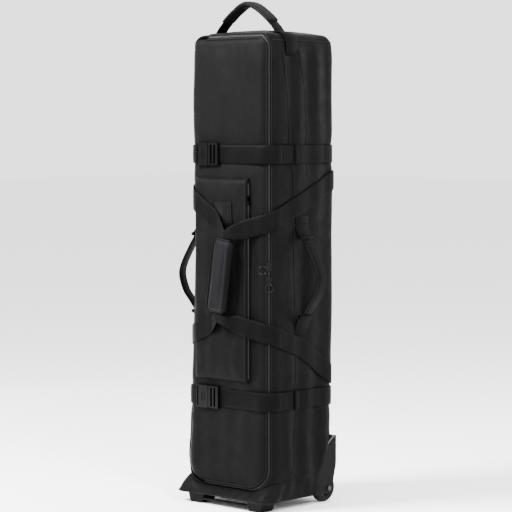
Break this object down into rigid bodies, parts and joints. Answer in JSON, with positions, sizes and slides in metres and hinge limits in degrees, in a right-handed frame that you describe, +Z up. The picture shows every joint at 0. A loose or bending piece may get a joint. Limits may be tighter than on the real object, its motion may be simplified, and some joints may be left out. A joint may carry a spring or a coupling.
{
  "type": "golf travel case",
  "caption": "Tall padded fabric case for a golf bag, with a zipped front lid and pocket, two buckled compression straps, carrying straps, three handles and two inline wheels.",
  "frame": {"origin": "on the floor, under the middle of the bounding box", "axes": "+Z up along the case's length, -Y out of the front lid, +X towards the side where the lid's zip opens, which is the right seen from the front"},
  "size_m": [0.4545, 0.329, 1.3695],
  "materials": {
    "fabric": "black woven polyester",
    "lining": "dark grey lining",
    "webbing": "black woven webbing",
    "foam": "fabric-covered foam",
    "plastic": "black moulded plastic",
    "buckle": "black acetal, slightly glossy",
    "zip": "black nylon coil",
    "patch": "blank black rubber",
    "pull": "gunmetal plate",
    "steel": "zinc-plated steel",
    "tyre": "black polyurethane"
  },
  "bodies": {
    "case": {"main_shell": "fabric", "zip_case_half": "zip", "back_board": "plastic", "top_pad": "foam", "base_tray": "fabric", "foot_bar": "plastic", "wheel_housing_left": "plastic", "wheel_axle_left": "steel", "wheel_housing_right": "plastic", "wheel_axle_right": "steel", "upper_strap_band": "webbing", "lower_strap_band": "webbing", "haul_band_left_upper": "webbing", "haul_band_left_lower": "webbing", "haul_band_right_upper": "webbing", "haul_band_right_lower": "webbing", "top_handle_anchor_left": "webbing", "top_handle_anchor_right": "webbing", "left_handle_tab_upper": "webbing", "left_handle_tab_lower": "webbing", "right_handle_tab_upper": "webbing", "right_handle_tab_lower": "webbing"},
    "lid": {"lid_panel": "fabric", "zip_lid_half": "zip", "pocket_shell": "fabric", "pocket_zip": "zip", "blank_patch": "patch", "upper_strap_short": "webbing", "upper_buckle_socket": "buckle", "lower_strap_short": "webbing", "lower_buckle_socket": "buckle", "haul_strap_left": "webbing", "grip_wrap": "foam"},
    "upper_strap": {"upper_strap_long": "webbing", "upper_buckle_plug": "buckle"},
    "upper_arm_top": {"upper_release_arm_top": "buckle"},
    "upper_arm_bottom": {"upper_release_arm_bottom": "buckle"},
    "lower_strap": {"lower_strap_long": "webbing", "lower_buckle_plug": "buckle"},
    "lower_arm_top": {"lower_release_arm_top": "buckle"},
    "lower_arm_bottom": {"lower_release_arm_bottom": "buckle"},
    "haul_strap": {"haul_strap_right": "webbing"},
    "main_slider_upper": {"main_zip_upper_slider": "pull"},
    "main_pull_upper": {"main_zip_upper_pull": "pull"},
    "main_slider_lower": {"main_zip_lower_slider": "pull"},
    "main_pull_lower": {"main_zip_lower_pull": "pull"},
    "pocket_slider_body": {"pocket_slider": "pull"},
    "pocket_pull_body": {"pocket_pull": "pull"},
    "top_handle": {"top_handle_strap": "webbing", "top_handle_grip": "foam"},
    "left_handle": {"left_handle_strap": "webbing"},
    "right_handle": {"right_handle_strap": "webbing"},
    "left_wheel": {"wheel_hub_left": "plastic", "wheel_tyre_left": "tyre", "wheel_bearing_left_inner": "steel", "wheel_bearing_left_outer": "steel"},
    "right_wheel": {"wheel_hub_right": "plastic", "wheel_tyre_right": "tyre", "wheel_bearing_right_inner": "steel", "wheel_bearing_right_outer": "steel"}
  },
  "joints": [
    {"name": "lid_fold", "type": "hinge", "parent": "case", "child": "lid", "pos_m": [-0.14087, -0.09937, 0.66], "axis": [0, 0, -1], "range_deg": [0, 120]},
    {"name": "upper_strap_swing", "type": "hinge", "parent": "case", "child": "upper_strap", "pos_m": [0.1543, -0.0695, 0.957], "axis": [0, 0, 1], "range_deg": [0, 150], "deforming": ["upper_strap_long", "upper_buckle_plug", "upper_release_arm_top", "upper_release_arm_bottom"]},
    {"name": "lower_strap_swing", "type": "hinge", "parent": "case", "child": "lower_strap", "pos_m": [0.1543, -0.0695, 0.296], "axis": [0, 0, 1], "range_deg": [0, 150], "deforming": ["lower_strap_long", "lower_buckle_plug", "lower_release_arm_top", "lower_release_arm_bottom"]},
    {"name": "haul_strap_swing", "type": "hinge", "parent": "case", "child": "haul_strap", "pos_m": [0.1563, -0.0695, 0.631], "axis": [0, 0, 1], "range_deg": [0, 150], "deforming": ["haul_strap_right"]},
    {"name": "upper_release_top", "type": "hinge", "parent": "upper_strap", "child": "upper_arm_top", "pos_m": [-0.066, -0.1192, 0.9715], "axis": [0, -1, 0], "range_deg": [0, 6], "stiffness_Nm_per_rad": 0.3},
    {"name": "upper_release_bottom", "type": "hinge", "parent": "upper_strap", "child": "upper_arm_bottom", "pos_m": [-0.066, -0.1192, 0.9425], "axis": [0, 1, 0], "range_deg": [0, 6], "stiffness_Nm_per_rad": 0.3},
    {"name": "lower_release_top", "type": "hinge", "parent": "lower_strap", "child": "lower_arm_top", "pos_m": [-0.066, -0.1192, 0.3105], "axis": [0, -1, 0], "range_deg": [0, 6], "stiffness_Nm_per_rad": 0.3},
    {"name": "lower_release_bottom", "type": "hinge", "parent": "lower_strap", "child": "lower_arm_bottom", "pos_m": [-0.066, -0.1192, 0.2815], "axis": [0, 1, 0], "range_deg": [0, 6], "stiffness_Nm_per_rad": 0.3},
    {"name": "main_zip_upper_slide", "type": "slide", "parent": "case", "child": "main_slider_upper", "axis": [0, 0, 1], "range_m": [-0.005, 0.09]},
    {"name": "main_zip_upper_pull_swing", "type": "hinge", "parent": "main_slider_upper", "child": "main_pull_upper", "pos_m": [0.14582, -0.10432, 0.659], "axis": [0.7071, -0.7071, 0], "range_deg": [0, 80]},
    {"name": "main_zip_lower_slide", "type": "slide", "parent": "case", "child": "main_slider_lower", "axis": [0, 0, 1], "range_m": [-0.075, 0.005]},
    {"name": "main_zip_lower_pull_swing", "type": "hinge", "parent": "main_slider_lower", "child": "main_pull_lower", "pos_m": [0.14582, -0.10432, 0.62], "axis": [-0.7071, -0.7071, 0], "range_deg": [0, 95]},
    {"name": "pocket_zip_slide", "type": "slide", "parent": "lid", "child": "pocket_slider_body", "axis": [0, 0, 1], "range_m": [-0.44, 0.03]},
    {"name": "pocket_pull_swing", "type": "hinge", "parent": "pocket_slider_body", "child": "pocket_pull_body", "pos_m": [0.0868, -0.1197, 0.844], "axis": [0, -1, 0], "range_deg": [0, 95]},
    {"name": "top_handle_fold", "type": "hinge", "parent": "case", "child": "top_handle", "pos_m": [0, -0.0275, 1.285], "axis": [1, 0, 0], "range_deg": [-55, 55], "deforming": ["top_handle_strap"]},
    {"name": "left_handle_swing", "type": "hinge", "parent": "case", "child": "left_handle", "pos_m": [-0.18, -0.0455, 0.628], "axis": [0, 0, 1], "range_deg": [-100, 10]},
    {"name": "right_handle_swing", "type": "hinge", "parent": "case", "child": "right_handle", "pos_m": [0.17, 0.0125, 0.628], "axis": [0, 0, -1], "range_deg": [-55, 55]},
    {"name": "left_wheel_spin", "type": "hinge", "parent": "case", "child": "left_wheel", "pos_m": [-0.131, 0.1245, 0.04], "axis": [1, 0, 0], "continuous": true},
    {"name": "right_wheel_spin", "type": "hinge", "parent": "case", "child": "right_wheel", "pos_m": [0.131, 0.1245, 0.04], "axis": [1, 0, 0], "continuous": true}
  ],
  "couplings": [
    {"joint": "upper_strap_swing", "follows": "lid_fold", "ratio": 1.25},
    {"joint": "lower_strap_swing", "follows": "lid_fold", "ratio": 1.25},
    {"joint": "haul_strap_swing", "follows": "lid_fold", "ratio": 1.25}
  ]
}
